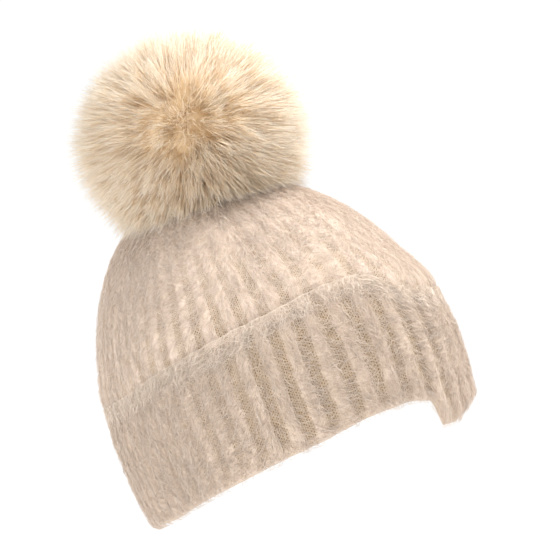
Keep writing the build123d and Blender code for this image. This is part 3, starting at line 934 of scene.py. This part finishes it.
def seam_rings():
    """The overlocked ridge up the inside of the centre back."""
    rows = []
    lengths = np.arange(run_at_height(17.5), run_at_height(135.5), 0.6)
    a = np.arange(16) * 2 * math.pi / 16
    for run in lengths:
        z, reach, lean = profile_at(run)
        rise, spread = slope_at(run)
        end = min(1.0, (run - lengths[0]) / 2 + 0.3, (lengths[-1] - run) / 2 + 0.3)
        beat = 1 + 0.1 * math.cos(2 * math.pi * run / 2.4)
        x = SEAM_HALF_WIDTH * end * beat * np.cos(a)
        out = -KNIT - 1.1 + SEAM_HALF_DEPTH * end * beat * np.sin(a) + 0.25 * math.sin(run / 9)
        rows.append(np.stack([x, lean + reach + out * rise, z - out * spread], 1))
    return rows


def label_rings():
    """The loop label's outline seen from above, a ribbon folded in two, at each height."""
    along = np.linspace(0.6, LABEL_FOLD, 26)
    half = LABEL_HALF_GAP
    bend = np.linspace(0.3, math.pi - 0.3, 9)
    middle = [(d, -half) for d in along]
    middle += [(LABEL_FOLD + half * math.sin(a), -half * math.cos(a)) for a in bend]
    middle += [(d, half) for d in along[::-1]]
    middle = np.array(middle)
    tangent = np.gradient(middle, axis=0)
    normal = np.stack([-tangent[:, 1], tangent[:, 0]], 1)
    normal /= np.linalg.norm(normal, axis=1, keepdims=True)
    outline = np.concatenate([middle + RIBBON_HALF * normal, (middle - RIBBON_HALF * normal)[::-1]])
    ahead = np.array([math.cos(LABEL_REST), -math.sin(LABEL_REST), 0])
    aside = np.array([math.sin(LABEL_REST), math.cos(LABEL_REST), 0])
    rows = []
    for height in np.linspace(LABEL_LOW, LABEL_HIGH, 30):
        wave = 0.25 * np.sin(outline[:, 0] / 5 + height / 6) * (outline[:, 0] / 23)
        flat = LABEL_HINGE + outline[:, :1] * ahead + (outline[:, 1:] + wave[:, None]) * aside
        rows.append(flat + np.array([0, 0, height]))
    return rows


def washer_rings():
    """The felt washer's section, taken round."""
    a = np.arange(96) * 2 * math.pi / 96
    rows = []
    for radius, z in WASHER_SECTION:
        edge = radius + 0.12 * np.sin(7 * a + radius) * (radius > 8)
        wave = 0.06 * np.sin(5 * a + z)
        rows.append(np.stack([edge * np.cos(a), CROWN_Y + edge * np.sin(a), z + wave], 1))
    return rows


def stitch_path(number):
    """One hand stitch across the washer's edge and up into the knit."""
    rng = np.random.default_rng(60 + number)
    a = 2 * math.pi * number / STITCHES + rng.normal(0, 0.03)
    across = np.array([math.cos(a), math.sin(a), 0])
    side = np.array([-math.sin(a), math.cos(a), 0]) * rng.normal(0, 0.3)
    points = []
    for t in np.linspace(0, 1, 14):
        flat = 8.4 + 3.2 * min(1, t * 1.6)
        rise = 141.35 - 0.25 * math.sin(math.pi * min(1, t * 1.6)) + 2.8 * max(0, t - 0.6) / 0.4
        points.append(np.array([0, CROWN_Y, rise]) + across * flat + side * t)
    return points


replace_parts(loft("back_seam_overlocked", seam_rings(), YARN, "hat"), "back_seam")
label = loft("care_label_ribbon", label_rings(), RIBBON, "label")
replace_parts(label, "care_label")
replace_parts(loft("crown_washer_felt", washer_rings(), FELT, "hat", wraps=True), "crown_backing")
for number, path in enumerate(twisted_ring(GATHER_HEIGHT, GATHER_RADIUS, GATHER_PLY, 30, 500)):
    rings = tube_rings(path, GATHER_PLY, 8, True)
    ply = loft(f"crown_gather_ply_{number + 1}", rings, YARN, "hat", wraps=True)
    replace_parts(ply, "crown_gather")
for number in range(STITCHES):
    rings = tube_rings(stitch_path(number), STITCH_RADIUS, 8, False)
    stitch = loft(f"washer_stitch_{number + 1}", rings, THREAD, "hat")
    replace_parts(stitch, "backing_stitches")

METAL_AND_PLASTIC = {
    "snap_stud": NICKEL, "stud_cap": NICKEL, "snap_socket": NICKEL, "socket_cap": NICKEL,
    "socket_spring": BRASS, "pom_base_disc": DISC,
}
for node, material in METAL_AND_PLASTIC.items():
    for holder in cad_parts[node].material_slots:
        holder.material = material

# ---------------------------------------------------------------- camera, light and floor

VIEW_AZIMUTH = math.radians(-32)     # from the hat's front, positive towards the wearer's left
VIEW_ROLL = math.radians(19)
CAMERA_DISTANCE = 1.2
LOOK_AT = Vector((0, 0, 0.1))        # in metres, as are the other lengths from here on
LIGHT_DISTANCE = 1.6
FLOOR_RADIUS = 2.4
FLOOR_HEIGHT = -0.62
FLOOR_SIDES = 96

toward = Vector((math.sin(VIEW_AZIMUTH), -math.cos(VIEW_AZIMUTH), 0))
level = Vector((math.cos(VIEW_AZIMUTH), math.sin(VIEW_AZIMUTH), 0))
upright = toward.cross(level)
view_right = level * math.cos(VIEW_ROLL) - upright * math.sin(VIEW_ROLL)
view_up = level * math.sin(VIEW_ROLL) + upright * math.cos(VIEW_ROLL)

camera = bpy.data.objects.new("camera", bpy.data.cameras.new("camera"))
bpy.context.scene.collection.objects.link(camera)
camera.data.sensor_width = 36
camera.data.lens = 154.3
camera.data.clip_start = 0.01
camera.data.clip_end = 50
spot = LOOK_AT + toward * CAMERA_DISTANCE + view_right * 0.016 + view_up * 0.002
turned = Matrix((view_right, view_up, toward)).transposed().to_4x4()
camera.matrix_world = Matrix.Translation(spot) @ turned
bpy.context.scene.camera = camera

world = bpy.data.worlds.new("studio")
bpy.context.scene.world = world
world.use_nodes = True
sky = world.node_tree.nodes["Background"]
sky.inputs[0].default_value = (1.0, 1.0, 1.0, 1)
sky.inputs[1].default_value = 1.05


def soft_light(name, aim_from, size, power):
    """A round lamp that shines on the hat from a direction. size is in metres and power in watts."""
    data = bpy.data.lights.new(name, "AREA")
    data.shape = "DISK"
    data.size = size
    data.energy = power
    light = bpy.data.objects.new(name, data)
    bpy.context.scene.collection.objects.link(light)
    light.location = LOOK_AT + aim_from.normalized() * LIGHT_DISTANCE
    light.rotation_euler = aim_from.to_track_quat("Z", "Y").to_euler()


soft_light("key", view_right * 0.4 + view_up * 0.95 + toward * 0.02, size=1.1, power=36)
soft_light("fill", toward * 0.8 - view_right * 0.42 - view_up * 0.42, size=1.2, power=16)

floor_mesh = bpy.data.meshes.new("floor")
turns = np.linspace(0, 2 * math.pi, FLOOR_SIDES, endpoint=False)
rim = [(FLOOR_RADIUS * math.cos(a), FLOOR_RADIUS * math.sin(a), FLOOR_HEIGHT) for a in turns]
floor_mesh.from_pydata(rim, [], [tuple(range(FLOOR_SIDES))])
floor = bpy.data.objects.new("floor", floor_mesh)
bpy.context.scene.collection.objects.link(floor)
PAPER = speckled_material("floor_paper", (0.78, 0.78, 0.78, 1), (0.8, 0.8, 0.8, 1), 3, 0.9, 0.0001)
floor_mesh.materials.append(PAPER)

bpy.context.scene.view_settings.view_transform = "Standard"
bpy.context.scene.view_settings.look = "None"
